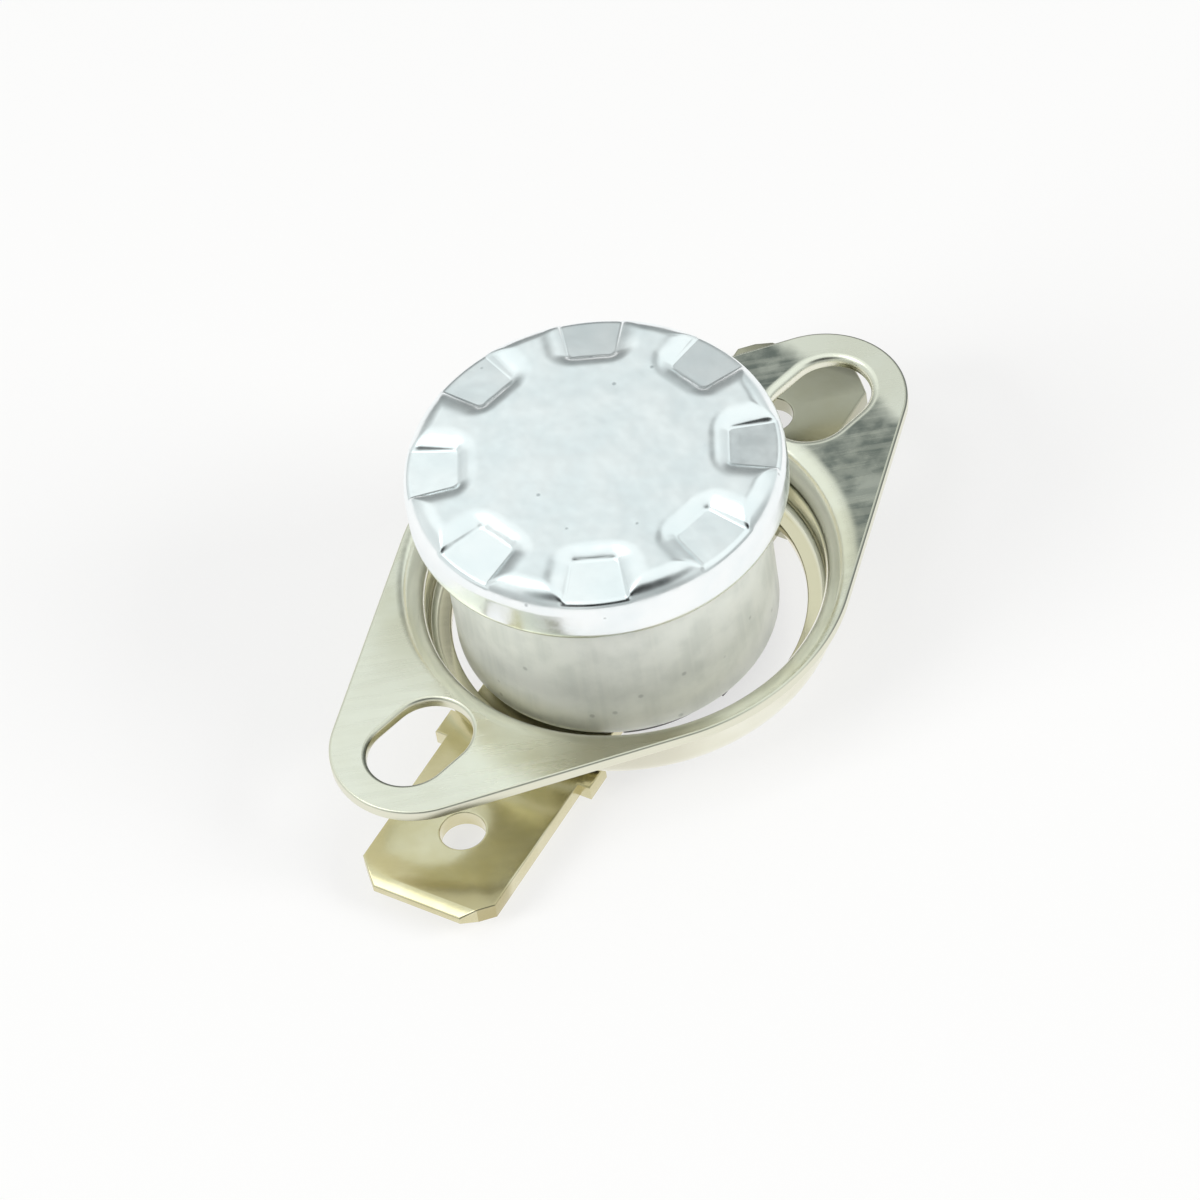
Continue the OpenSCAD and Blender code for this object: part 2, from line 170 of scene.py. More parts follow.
def mesh_object(name, points, faces, material):
    """A smooth mesh from points in millimetres."""
    mesh = bpy.data.meshes.new(name)
    mesh.from_pydata((np.array(points) * MM).tolist(), [], faces)
    mesh.shade_smooth()
    mesh.materials.append(material)
    piece = bpy.data.objects.new(name, mesh)
    bpy.context.scene.collection.objects.link(piece)
    return piece


def dress(piece, body, node_name):
    """Lets a piece ride on a body in place of a CAD node."""
    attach(piece, body)
    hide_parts(node_name)


def pocket_drop(x, y):
    """How far below the flat of the face the press tool has pushed the sheet at x, y."""
    pitch = 2 * math.pi / POCKETS
    turn = np.mod(np.arctan2(y, x) + pitch / 2, pitch) - pitch / 2
    reach = np.hypot(x, y)
    along, across = reach * np.cos(turn), reach * np.sin(turn)
    from_end = along - POCKET_START_R
    flare = (POCKET_RIM_W - POCKET_INNER_W) / 2 / (RIM_R - POCKET_START_R)
    half_width = POCKET_INNER_W / 2 + flare * from_end
    from_side = POCKET_SIDE_EASE * (half_width - np.abs(across)) / math.hypot(1, flare)
    corner = POCKET_CORNER_R - np.hypot(POCKET_CORNER_R - from_end, POCKET_CORNER_R - from_side)
    in_corner = (from_end < POCKET_CORNER_R) & (from_side < POCKET_CORNER_R)
    within = np.maximum(np.where(in_corner, corner, np.minimum(from_end, from_side)), 0)
    wall_w = POCKET_EDGE_R * math.sin(POCKET_WALL_TILT)
    rounded = POCKET_EDGE_R - np.sqrt(POCKET_EDGE_R**2 - np.minimum(within, wall_w) ** 2)
    floor = POCKET_EDGE_R * (1 - math.cos(POCKET_WALL_TILT))
    floor = floor + math.tan(POCKET_FLOOR_TILT) * np.maximum(from_end - wall_w, 0)
    return np.where(within < wall_w, np.minimum(rounded, floor), floor)


def soft_min(first, second, blend):
    """The lower of two heights, rounded over where they cross."""
    share = np.clip(0.5 + 0.5 * (second - first) / blend, 0, 1)
    return second * (1 - share) + first * share - blend * share * (1 - share)


flat_r = RIM_R - FACE_EDGE_R
wall_low = SHOULDER_R - RIM_H
fillet_centre = (NECK_R + NECK_FILLET_R, -RIM_H - NECK_FILLET_R)
roll_centre = (NECK_R - ROLL_R, ROLL_R - CUP_H)
pocket_zone = (POCKET_START_R - POCKET_MARGIN, 0)
outside = [(0, 0)] + line((0, 0), pocket_zone, steps=3)
outside += line(pocket_zone, (flat_r, 0), steps=28)
outside += arc(flat_r, -FACE_EDGE_R, FACE_EDGE_R, 90, 0, steps=30)[1:]
outside += line((RIM_R, -FACE_EDGE_R), (RIM_R, wall_low), steps=3)
outside += arc(RIM_R - SHOULDER_R, wall_low, SHOULDER_R, 0, -90, steps=8)[1:]
outside += arc(*fillet_centre, NECK_FILLET_R, 90, 180, steps=5)
neck_from = len(outside)
outside += line((NECK_R, -RIM_H - NECK_FILLET_R), (NECK_R, ROLL_R - CUP_H), steps=5)
outside += arc(*roll_centre, ROLL_R, 0, -90, steps=7)[1:]
outside += arc(MOUTH_R + MOUTH_EDGE_R, MOUTH_EDGE_R - CUP_H, MOUTH_EDGE_R, -90, -180, steps=3)
inside = [(MOUTH_R, CUP_WALL - CUP_H)]
inside += arc(*roll_centre, ROLL_R - CUP_WALL, -90, 0, steps=2)
inside += arc(*fillet_centre, NECK_FILLET_R + CUP_WALL, 180, 90, steps=3)
inside += arc(RIM_R - SHOULDER_R, wall_low, SHOULDER_R - CUP_WALL, -90, 0, steps=2)
inside += arc(flat_r, -FACE_EDGE_R, FACE_EDGE_R - CUP_WALL, 0, 90, steps=5)[:-1]
inside += [(flat_r, -FACE_T)]
inside += line((flat_r, -FACE_T), (POCKET_START_R, -FACE_T), steps=9)
inside += [(0, -FACE_T)]
cup_points, cup_faces, cup_rings = revolve(outside + inside, CUP_TURNS)
cup_points = np.array(cup_points)
# The tool pushes down the outside of face and rim, and with it the inside, one sheet below.
for first, last, depth in ((0, neck_from, 0), (len(outside), len(outside + inside), FACE_T)):
    band = slice(cup_rings[first][0], cup_rings[last - 1][-1] + 1)
    x, y, z = cup_points[band].T
    drop = pocket_drop(x, y)
    crossing = CROSSING_LEAST + CROSSING_SHARE * np.minimum(drop, CROSSING_DEPTH)
    cup_points[band, 2] = soft_min(z, -depth - drop, crossing)

# Pressed aluminium is bright and satin: a faint cloud in its tone, slow waves that bend its
# reflections, a few dark pits and a warm stain low on the rim. Its grain is drawn coarser than
# the real one, to show at this size.

FACE_CLOUD = 2.2
FACE_PIT_SPACING = 1.7
FACE_GRAIN = 0.6
FACE_GRAIN_SHARE = 0.12
FACE_WAVE = 2.4
FACE_RELIEF = 0.03
STAIN_SIZE = 3.0
STAIN_TOP = 0.7
STAIN_FULL = 0.1


def pressed_aluminium():
    """The material of the cap's face and rim."""
    made, place = new_material("pressed_aluminium")
    cloud = node(made, "TexNoise", {"Vector": place, "Scale": 1 / (FACE_CLOUD * MM), "Detail": 5})["Fac"]
    cloudy = node(made, "MapRange", {"Value": cloud, "From Min": 0.3, "From Max": 0.7},
                  interpolation_type="SMOOTHSTEP")["Result"]
    tone = node(made, "Mix", {"Factor": cloudy, "A": linear("#f4fafb"), "B": linear("#fcffff")},
                data_type="RGBA")["Result"]

    height = node(made, "SeparateXYZ", {"Vector": place})["Z"]
    low_rim = node(made, "MapRange", {
        "Value": height, "From Min": (STAIN_TOP - RIM_H) * MM, "From Max": (STAIN_FULL - RIM_H) * MM},
        interpolation_type="SMOOTHSTEP")["Result"]
    stain = node(made, "TexNoise", {"Vector": place, "Scale": 1 / (STAIN_SIZE * MM), "Detail": 3})["Fac"]
    patchy = node(made, "MapRange", {"Value": stain, "From Min": 0.4, "From Max": 0.65},
                  interpolation_type="SMOOTHSTEP")["Result"]
    warm = node(made, "Math", {0: low_rim, 1: patchy}, operation="MULTIPLY")["Value"]
    tone = node(made, "Mix", {"Factor": warm, "A": tone, "B": linear("#e8e4cf")},
                data_type="RGBA")["Result"]

    pit = node(made, "TexVoronoi", {"Vector": place, "Scale": 1 / (FACE_PIT_SPACING * MM)})["Distance"]
    pitted = node(made, "MapRange", {
        "Value": pit, "From Min": 0.03, "From Max": 0.07, "To Min": 0.5, "To Max": 0.0},
        interpolation_type="SMOOTHSTEP")["Result"]
    tone = node(made, "Mix", {"Factor": pitted, "A": tone, "B": linear("#7f8a8c")},
                data_type="RGBA")["Result"]

    grain = node(made, "TexNoise", {"Vector": place, "Scale": 1 / (FACE_GRAIN * MM), "Detail": 4})["Fac"]
    wave = node(made, "TexNoise", {"Vector": place, "Scale": 1 / (FACE_WAVE * MM), "Detail": 2})["Fac"]
    fine = node(made, "Math", {0: grain, 1: FACE_GRAIN_SHARE}, operation="MULTIPLY")["Value"]
    uneven = node(made, "Math", {0: wave, 1: fine}, operation="ADD")["Value"]
    satin = node(made, "MapRange", {
        "Value": grain, "From Min": 0.3, "From Max": 0.7, "To Min": 0.18, "To Max": 0.26},
        interpolation_type="SMOOTHSTEP")["Result"]
    coat(made, tone, satin, 1, uneven, FACE_RELIEF)
    return made


# Drawn aluminium is grey and half dull: the die has rubbed its skin into upright streaks, with
# cloudy patches and small dark spots. Streaks are drawn coarser than the real ones, to show.

NECK_STREAK = 0.5
NECK_CLOUD = 1.6
NECK_SPOT_SPACING = 1.4
NECK_RELIEF = 0.002


def drawn_aluminium():
    """The material of the neck and the inside of the cup."""
    made, place = new_material("drawn_aluminium")
    axes = node(made, "SeparateXYZ", {"Vector": place})
    turn = node(made, "Math", {0: axes["Y"], 1: axes["X"]}, operation="ARCTAN2")["Value"]
    unrolled = node(made, "CombineXYZ", {"X": turn, "Y": axes["Z"]})["Vector"]
    streak = node(made, "TexNoise", {"Vector": unrolled, "Scale": NECK_R / NECK_STREAK, "Detail": 3})["Fac"]
    cloud = node(made, "TexNoise", {"Vector": place, "Scale": 1 / (NECK_CLOUD * MM), "Detail": 5})["Fac"]
    cloudy = node(made, "MapRange", {"Value": cloud, "From Min": 0.35, "From Max": 0.65},
                  interpolation_type="SMOOTHSTEP")["Result"]
    tone = node(made, "Mix", {"Factor": cloudy, "A": linear("#daded8"), "B": linear("#eaede7")},
                data_type="RGBA")["Result"]
    rubbed = node(made, "MapRange", {
        "Value": streak, "From Min": 0.35, "From Max": 0.65, "To Min": 0.0, "To Max": 0.35},
        interpolation_type="SMOOTHSTEP")["Result"]
    tone = node(made, "Mix", {"Factor": rubbed, "A": tone, "B": linear("#eff1ea")},
                data_type="RGBA")["Result"]
    spot = node(made, "TexVoronoi", {"Vector": place, "Scale": 1 / (NECK_SPOT_SPACING * MM)})["Distance"]
    spotted = node(made, "MapRange", {
        "Value": spot, "From Min": 0.04, "From Max": 0.11, "To Min": 0.35, "To Max": 0.0},
        interpolation_type="SMOOTHSTEP")["Result"]
    tone = node(made, "Mix", {"Factor": spotted, "A": tone, "B": linear("#6f7672")},
                data_type="RGBA")["Result"]
    coat(made, tone, 0.42, 0.35, streak, NECK_RELIEF)
    return made


cup = mesh_object("sensing_cup_shell", cup_points, cup_faces, pressed_aluminium())
cup.data.materials.append(drawn_aluminium())
neck_first = cup_rings[neck_from - 1][0]
for face in cup.data.polygons:
    face.material_index = int(min(face.vertices) >= neck_first)
dress(cup, "housing", "sensing_cup")


# Bimetal disc: two metals rolled into one thin sheet, punched round and pressed to a shallow dome.
# It lies loose on the guide plate inside the rim of the cup, and snaps through when it is hot.

DISC_R = 6.8
DISC_DOME = 0.3
DISC_T = 0.2
DISC_TURNS = 144
SHARP_EDGE = math.radians(40)
FINE_RELIEF = 0.004


def grained(name, dark, pale, grain_size, roughness, metallic):
    """A material of one tone, made lively only by a grain of grain_size millimetres."""
    made, place = new_material(name)
    grain = node(made, "TexNoise", {"Vector": place, "Scale": 1 / (grain_size * MM), "Detail": 4})["Fac"]
    tone = node(made, "Mix", {"Factor": grain, "A": linear(dark), "B": linear(pale)},
                data_type="RGBA")["Result"]
    coat(made, tone, roughness, metallic, grain, FINE_RELIEF)
    return made


# Rolled bimetal steel is a warm grey with a fairly sharp shine; the rolling grain is drawn coarse.
bimetal_steel = grained("bimetal_steel", "#8f8b82", "#b4b0a6", grain_size=0.6, roughness=0.3, metallic=1)
disc_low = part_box("bimetal_disc")[0].z / MM
dome_r = (DISC_R**2 + DISC_DOME**2) / (2 * DISC_DOME)
dome_centre = disc_low + DISC_DOME - dome_r
under = [(r, dome_centre + math.sqrt(dome_r**2 - r**2)) for r in np.linspace(0, DISC_R, 13)]
section = [(r, z + DISC_T) for r, z in under] + under[::-1]
points, faces, _ = revolve(section, DISC_TURNS)
disc = mesh_object("bimetal_disc_domed", points, faces, bimetal_steel)
disc.data.set_sharp_from_angle(angle=SHARP_EDGE)
dress(disc, "housing", "bimetal_disc")


# Guide plate: dark phenolic moulding that carries the disc on its rim and guides the pin in its bore.
# It is closed in by the cup, so the CAD solid stays and only gets its material.


def paint(node_name, material):
    """Gives a CAD node that stays in the scene its own material."""
    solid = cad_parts[node_name].data
    solid.materials.clear()
    solid.materials.append(material)


# Moulded phenolic is a brown black, half matt from the mould.
moulded_guide = grained("moulded_guide", "#2c2724", "#3f3833", grain_size=0.5, roughness=0.55, metallic=0)
paint("guide_plate", moulded_guide)


# Transfer pin: white ceramic rod, pressed, fired and tumbled, with a round nose on the spring arm.
# It slides in the bore of the guide plate and carries the snap of the disc down to the arm.

PIN_R = 1.0
PIN_NOSE_R = 1.4
PIN_EDGE_R = 0.1
PIN_TURNS = 64

# Fired ceramic is an off-white with a soft shine and a fine speckle, drawn coarser to show.
white_ceramic = grained("white_ceramic", "#dcd7ca", "#efebe0", grain_size=0.3, roughness=0.4, metallic=0)
pin_low, pin_top = (corner.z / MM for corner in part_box("transfer_pin"))
nose_end = -math.degrees(math.acos(PIN_R / PIN_NOSE_R))
section = [(0, pin_top)]
section += arc(PIN_R - PIN_EDGE_R, pin_top - PIN_EDGE_R, PIN_EDGE_R, 90, 0, steps=4)
section += arc(0, pin_low + PIN_NOSE_R, PIN_NOSE_R, nose_end, -90, steps=10)[:-1]
section += [(0, pin_low)]
points, faces, _ = revolve(section, PIN_TURNS)
pin = mesh_object("transfer_pin_rod", points, faces, white_ceramic)
pin.data.set_sharp_from_angle(angle=SHARP_EDGE)
dress(pin, "pin", "transfer_pin")


# Brass supports: a turned spacer under the root of the arm, and a bent bracket over its free end.
# The rivets clamp both to the base. Hidden in the cup, they stay as CAD solids.

# Turned brass is yellow with a clear shine; the tool marks are drawn as a coarse grain.
turned_brass = grained("turned_brass", "#a98b4c", "#cfae66", grain_size=0.4, roughness=0.3, metallic=1)
paint("arm_support", turned_brass)
paint("fixed_contact_bracket", turned_brass)


# Spring arm: rolled bronze strip, riveted at one end, with the moving contact at the other.
# It bends just past the rivet when the pin pushes it, and is made as one strip.

ARM_W = 2.4
ARM_LINE = math.radians(8.48)
ARM_RIVET_REACH = 3.523
ARM_CONTACT_REACH = 3.3
ARM_RIVET_BORE_R = 0.95
ARM_TAIL_BORE_R = 0.5
ARM_EDGE_R = 0.03
ARM_GRID_REACH = 2.4  # the flats hold a grid of points
ARM_GRID_HALF_W = 1.0
FLAT_MARGIN = 0.02
INNER_TRIANGLES = 1
SAME_POINT = 1e-7


def ring(x, y, radius, count):
    """Points of a circle, anticlockwise."""
    angles = np.linspace(0, 2 * math.pi, count, endpoint=False)
    return [(x + radius * math.cos(a), y + radius * math.sin(a)) for a in angles]


def stadium(start, end, radius, count):
    """Points of a straight slot between two centres on the X line, anticlockwise."""
    points = []
    for middle, first in ((end, -90), (start, 90)):
        for a in np.radians(np.linspace(first, first + 180, count)):
            points.append((middle + radius * math.cos(a), radius * math.sin(a)))
    return points


def inset(loop, distance):
    """A closed loop of points moved to its left, with square corners."""
    here = np.array(loop)
    before, after = here - np.roll(here, 1, 0), np.roll(here, -1, 0) - here
    left = [np.stack([-side[:, 1], side[:, 0]], 1) / np.linalg.norm(side, axis=1)[:, None]
            for side in (before, after)]
    spread = 1 + (left[0] * left[1]).sum(1)
    return here + distance * (left[0] + left[1]) / spread[:, None]


def cut_edge(points, faces, loop, top, low, top_r, low_r):
    """Adds the rounded edge of a sheet along a loop with the sheet on its left; gives its two rims."""
    steps = np.radians(np.linspace(0, 90, 5))
    levels = [(top_r + FLAT_MARGIN, top, 0)]
    levels += [(top_r * (1 - math.sin(a)), top, -top_r * (1 - math.cos(a))) for a in steps]
    levels += [(low_r * (1 - math.sin(a)), low, low_r * (1 - math.cos(a))) for a in reversed(steps)]
    levels += [(low_r + FLAT_MARGIN, low, 0)]
    rims = []
    for distance, height, change in levels:
        first = len(points)
        points += [(x, y, height(x, y) + change) for x, y in inset(loop, distance)]
        rims.append(list(range(first, len(points))))
    for upper, lower in zip(rims, rims[1:]):
        for i in range(len(upper)):
            j = (i + 1) % len(upper)
            faces.append([upper[i], lower[i], lower[j], upper[j]])
    return rims[0], rims[-1]


def fill(points, faces, rims, spots=(), creases=(), way=1):
    """Adds the triangles of a flat between rims of points, through loose spots and crease edges."""
    first = len(points)
    points += spots
    index = [i for rim in rims for i in rim] + list(range(first, len(points)))
    flat = [Vector(points[i][:2]) for i in index]
    edges = [(index.index(a), index.index(b)) for a, b in creases]
    start = 0
    for rim in rims:
        edges += [(start + i, start + (i + 1) % len(rim)) for i in range(len(rim))]
        start += len(rim)
    filled = geometry.delaunay_2d_cdt(flat, edges, [], INNER_TRIANGLES, SAME_POINT)
    places, _, triangles, origins = filled[:4]
    middles = np.array([sum((places[i] for i in triangle), Vector((0, 0))) / 3 for triangle in triangles])
    crossings = np.zeros(len(middles), int)
    for rim in rims:
        a = np.array([points[i][:2] for i in rim])
        b = np.roll(a, -1, 0)
        x, y = middles[:, :1], middles[:, 1:]
        spans = (a[:, 1] > y) != (b[:, 1] > y)
        slope = (b[:, 0] - a[:, 0]) / np.where(b[:, 1] == a[:, 1], 1, b[:, 1] - a[:, 1])
        crossings += (spans & (x < a[:, 0] + slope * (y - a[:, 1]))).sum(1)
    faces += [[index[origins[i][0]] for i in triangle][::way]
              for triangle, crossed in zip(triangles, crossings) if crossed % 2]


arm_low, arm_top = (corner.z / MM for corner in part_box("contact_arm"))
arm_points, arm_faces = [], []
arm_loops = [stadium(-ARM_RIVET_REACH, ARM_CONTACT_REACH, ARM_W / 2, 20),
             ring(-ARM_RIVET_REACH, 0, ARM_RIVET_BORE_R, 32)[::-1],
             ring(ARM_CONTACT_REACH, 0, ARM_TAIL_BORE_R, 24)[::-1]]
rims = [cut_edge(arm_points, arm_faces, loop, lambda x, y: arm_top, lambda x, y: arm_low,
                 ARM_EDGE_R, ARM_EDGE_R) for loop in arm_loops]
bend_lines = [(x, y) for x in np.linspace(-ARM_GRID_REACH, ARM_GRID_REACH, 33)
              for y in np.linspace(-ARM_GRID_HALF_W, ARM_GRID_HALF_W, 9)]
for side, height, way in ((0, arm_top, 1), (1, arm_low, -1)):
    spots = [(x, y, height) for x, y in bend_lines]
    fill(arm_points, arm_faces, [pair[side] for pair in rims], spots, way=way)
along = Matrix.Rotation(ARM_LINE, 3, "Z")

# Rolled bronze is a reddish brown with a clear shine; the rolling grain is drawn coarse.
spring_bronze = grained("spring_bronze", "#a87444", "#cb9660", grain_size=0.5, roughness=0.3, metallic=1)
arm = mesh_object("contact_arm_strip", [along @ Vector(p) for p in arm_points], arm_faces, spring_bronze)
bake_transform(arm)
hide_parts("contact_arm")


# Contacts: two silver buttons, one riveted to the free end of the arm, one under the fixed bracket.
# They meet when the thermostat is cold. Hidden in the cup, they stay as CAD solids.

# Contact silver is nearly white with a soft, even shine.
contact_silver = grained("contact_silver", "#bfbdb6", "#e2e0da", grain_size=0.2, roughness=0.25, metallic=1)
paint("moving_contact", contact_silver)
paint("fixed_contact", contact_silver)


# Base: dark phenolic moulding that fills the neck of the cup, with a recess under each blade
# and a barrier rib between them. It is the CAD shape with the round edges that a mould leaves.

BASE_EDGE_R = 0.12
BASE_WELD = BASE_EDGE_R / 50
BASE_FLAT = math.radians(0.5)
BASE_CORNER = math.radians(35)
FLOW_SIZE = 1.5
SKIN_SIZE = 0.15
SKIN_RELIEF = 0.008


# Black phenolic is a warm black, semi-matt: faint flow clouds under a fine moulded skin.
def black_phenolic():
    """The material of the base."""
    made, place = new_material("black_phenolic")
    flow = node(made, "TexNoise", {"Vector": place, "Scale": 1 / (FLOW_SIZE * MM), "Detail": 6})["Fac"]
    skin = node(made, "TexNoise", {"Vector": place, "Scale": 1 / (SKIN_SIZE * MM), "Detail": 2})["Fac"]
    tone = node(made, "Mix", {"Factor": flow, "A": linear("#191716"), "B": linear("#2d2927")},
                data_type="RGBA")["Result"]
    coat(made, tone, 0.45, 0, skin, SKIN_RELIEF)
    return made


base_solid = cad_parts["base"]
base_mesh = bmesh.new()
base_mesh.from_mesh(base_solid.data)
base_mesh.transform(base_solid.matrix_world)
bmesh.ops.remove_doubles(base_mesh, verts=base_mesh.verts, dist=BASE_WELD * MM)
bmesh.ops.dissolve_limit(base_mesh, angle_limit=BASE_FLAT, verts=base_mesh.verts, edges=base_mesh.edges)
base = mesh_object("base_moulding", [], [], black_phenolic())
base_mesh.to_mesh(base.data)
base_mesh.free()
base.data.shade_smooth()
edges = base.modifiers.new("moulded_edges", "BEVEL")
edges.width = BASE_EDGE_R * MM
edges.segments = 2
edges.limit_method = "ANGLE"
edges.angle_limit = BASE_CORNER
edges.harden_normals = True
dress(base, "housing", "base")


# Blade terminals: brass strip punched to a 6.3 mm blade with shoulders, tip coined to a bevel,
# thinly plated and tarnished to a pale olive. Both blades are the same stamping.

BLADE_W = 6.3
BLADE_REACH = 16.5
BLADE_ANGLE = 15
BLADE_OFFSET = -0.4
BLADE_ROOT = 1.1
BLADE_EDGE_R = 0.07
BLADE_CREASE = math.radians(18)
TIP_CHAMFER = 1.1
TIP_BEVEL_L = 0.55
TIP_BEVEL_T = 0.22
SHOULDER_REACH = 8.5
SHOULDER_L = 1.3
SHOULDER_STEP = 0.55
BLADE_HOLE_R = 0.95
BLADE_HOLE_INSET = 3.9
RIVET_BORE_R = 0.95
RIVET_REACH = 3.5

blade_low, blade_top = (corner.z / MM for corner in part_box("arm_terminal"))
half = BLADE_W / 2
step = half + SHOULDER_STEP
bevel_x = BLADE_REACH - TIP_BEVEL_L
chamfer_x = BLADE_REACH - TIP_CHAMFER
hole_x = BLADE_REACH - BLADE_HOLE_INSET
back_x = SHOULDER_REACH - SHOULDER_L
lower_side = [(BLADE_ROOT, -half), (back_x, -half), (back_x, -step), (SHOULDER_REACH, -step),
              (SHOULDER_REACH, -half), (chamfer_x, -half), (bevel_x, bevel_x - chamfer_x - half),
              (BLADE_REACH, TIP_CHAMFER - half)]
bevel_at = len(lower_side) - 2
blade_loops = [lower_side + [(x, -y) for x, y in reversed(lower_side)],
               ring(RIVET_REACH, 0, RIVET_BORE_R, 48)[::-1], ring(hole_x, 0, BLADE_HOLE_R, 72)[::-1]]


def tip_drop(x):
    """How far the coined bevel has closed in at x."""
    return TIP_BEVEL_T * max(0, x - bevel_x) / TIP_BEVEL_L


blade_points, blade_faces = [], []
rims = [cut_edge(blade_points, blade_faces, loop, lambda x, y: blade_top - tip_drop(x),
                 lambda x, y: blade_low + tip_drop(x), BLADE_EDGE_R, BLADE_EDGE_R) for loop in blade_loops]
for side, way in ((0, 1), (1, -1)):
    rim = rims[0][side]
    crease = (rim[bevel_at], rim[len(rim) - 1 - bevel_at])
    fill(blade_points, blade_faces, [pair[side] for pair in rims], [], [crease], way)

# Tarnished brass is a pale olive metal that still mirrors its surroundings: cloudy, duller and
# greyer on the far blade, browner on the near one from a slanting edge by its hole to its bevel.

BLADE_CLOUD = 3.0
BLADE_GRAIN = 0.3
BLADE_RELIEF = 0.003
GREY_FULL = 6.0
BROWN_START = 2.9
BROWN_FULL = 3.5
BROWN_WAVER = 1.2
BROWN_SLANT = 0.35
BROWN_STOP = 0.02


def tarnished_brass():
    """The material of both blades."""
    made, place = new_material("tarnished_brass")
    along = node(made, "Mapping", {
        "Vector": place, "Rotation": (0, 0, math.radians(-BLADE_ANGLE))})["Vector"]
    axes = node(made, "SeparateXYZ", {"Vector": along})
    cloud = node(made, "TexNoise", {"Vector": place, "Scale": 1 / (BLADE_CLOUD * MM), "Detail": 5})["Fac"]
    cloudy = node(made, "MapRange", {"Value": cloud, "From Min": 0.3, "From Max": 0.7},
                  interpolation_type="SMOOTHSTEP")["Result"]
    tone = node(made, "Mix", {"Factor": cloudy, "A": linear("#d3cba2"), "B": linear("#e2ddc0")},
                data_type="RGBA")["Result"]
    grey = node(made, "MapRange", {
        "Value": axes["X"], "From Min": 0.0, "From Max": GREY_FULL * MM, "To Min": 0.0, "To Max": 0.6},
        interpolation_type="SMOOTHSTEP")["Result"]
    tone = node(made, "Mix", {"Factor": grey, "A": tone, "B": linear("#92958a")},
                data_type="RGBA")["Result"]

    near = node(made, "Math", {0: axes["X"], 1: -1.0}, operation="MULTIPLY")["Value"]
    from_hole = node(made, "Math", {0: near, 1: hole_x * MM}, operation="SUBTRACT")["Value"]
    waver = node(made, "Math", {0: cloud, 1: BROWN_WAVER * MM}, operation="MULTIPLY")["Value"]
    slant = node(made, "Math", {0: axes["Y"], 1: BROWN_SLANT}, operation="MULTIPLY")["Value"]
    edge = node(made, "Math", {0: from_hole, 1: waver}, operation="ADD")["Value"]
    edge = node(made, "Math", {0: edge, 1: slant}, operation="SUBTRACT")["Value"]
    past_edge = node(made, "MapRange", {
        "Value": edge, "From Min": BROWN_START * MM, "From Max": BROWN_FULL * MM,
        "To Min": 0.0, "To Max": 0.6}, interpolation_type="SMOOTHSTEP")["Result"]
    bevel_from_hole = bevel_x - hole_x
    on_flat = node(made, "MapRange", {
        "Value": from_hole, "From Min": (bevel_from_hole + BROWN_STOP) * MM,
        "From Max": bevel_from_hole * MM}, interpolation_type="SMOOTHSTEP")["Result"]
    brown = node(made, "Math", {0: past_edge, 1: on_flat}, operation="MULTIPLY")["Value"]
    tone = node(made, "Mix", {"Factor": brown, "A": tone, "B": linear("#a99c6c")},
                data_type="RGBA")["Result"]

    grain = node(made, "TexNoise", {"Vector": place, "Scale": 1 / (BLADE_GRAIN * MM), "Detail": 3})["Fac"]
    coat(made, tone, 0.2, 0.9, grain, BLADE_RELIEF)
    return made


blade_brass = tarnished_brass()
for node_name, angle in (("arm_terminal", BLADE_ANGLE + 180), ("contact_terminal", BLADE_ANGLE)):
    turned = Matrix.Rotation(math.radians(angle), 3, "Z")
    points = [turned @ Vector((x, y + BLADE_OFFSET, z)) for x, y, z in blade_points]
    blade = mesh_object(node_name + "_blade", points, blade_faces, blade_brass)
    blade.data.set_sharp_from_angle(angle=BLADE_CREASE)
    dress(blade, "housing", node_name)


# Rivets: turned brass, one through each blade and the base, clamping the brass parts inside.
# The head under the blade has a shallow dimple from the setting tool; the other end is upset.

HEAD_R = 1.7
HEAD_EDGE_R = 0.3
RIVET_R = 0.9
DIMPLE_R = 0.65
DIMPLE_H = 0.35
DIMPLE_EDGE_R = 0.08
UPSET_R = 1.15
UPSET_H = 0.35
RIVET_TURNS = 72
RIVET_CLOUD = 1.0
RIVET_RELIEF = 0.006


# Rivet brass is a yellow olive, cloudy with tarnish, with a soft uneven shine.
def rivet_brass():
    """The material of both rivets."""
    made, place = new_material("rivet_brass")
    cloud = node(made, "TexNoise", {"Vector": place, "Scale": 1 / (RIVET_CLOUD * MM), "Detail": 5})["Fac"]
    tone = node(made, "Mix", {"Factor": cloud, "A": linear("#a8935a"), "B": linear("#d8c892")},
                data_type="RGBA")["Result"]
    coat(made, tone, 0.3, 1, cloud, RIVET_RELIEF)
    return made


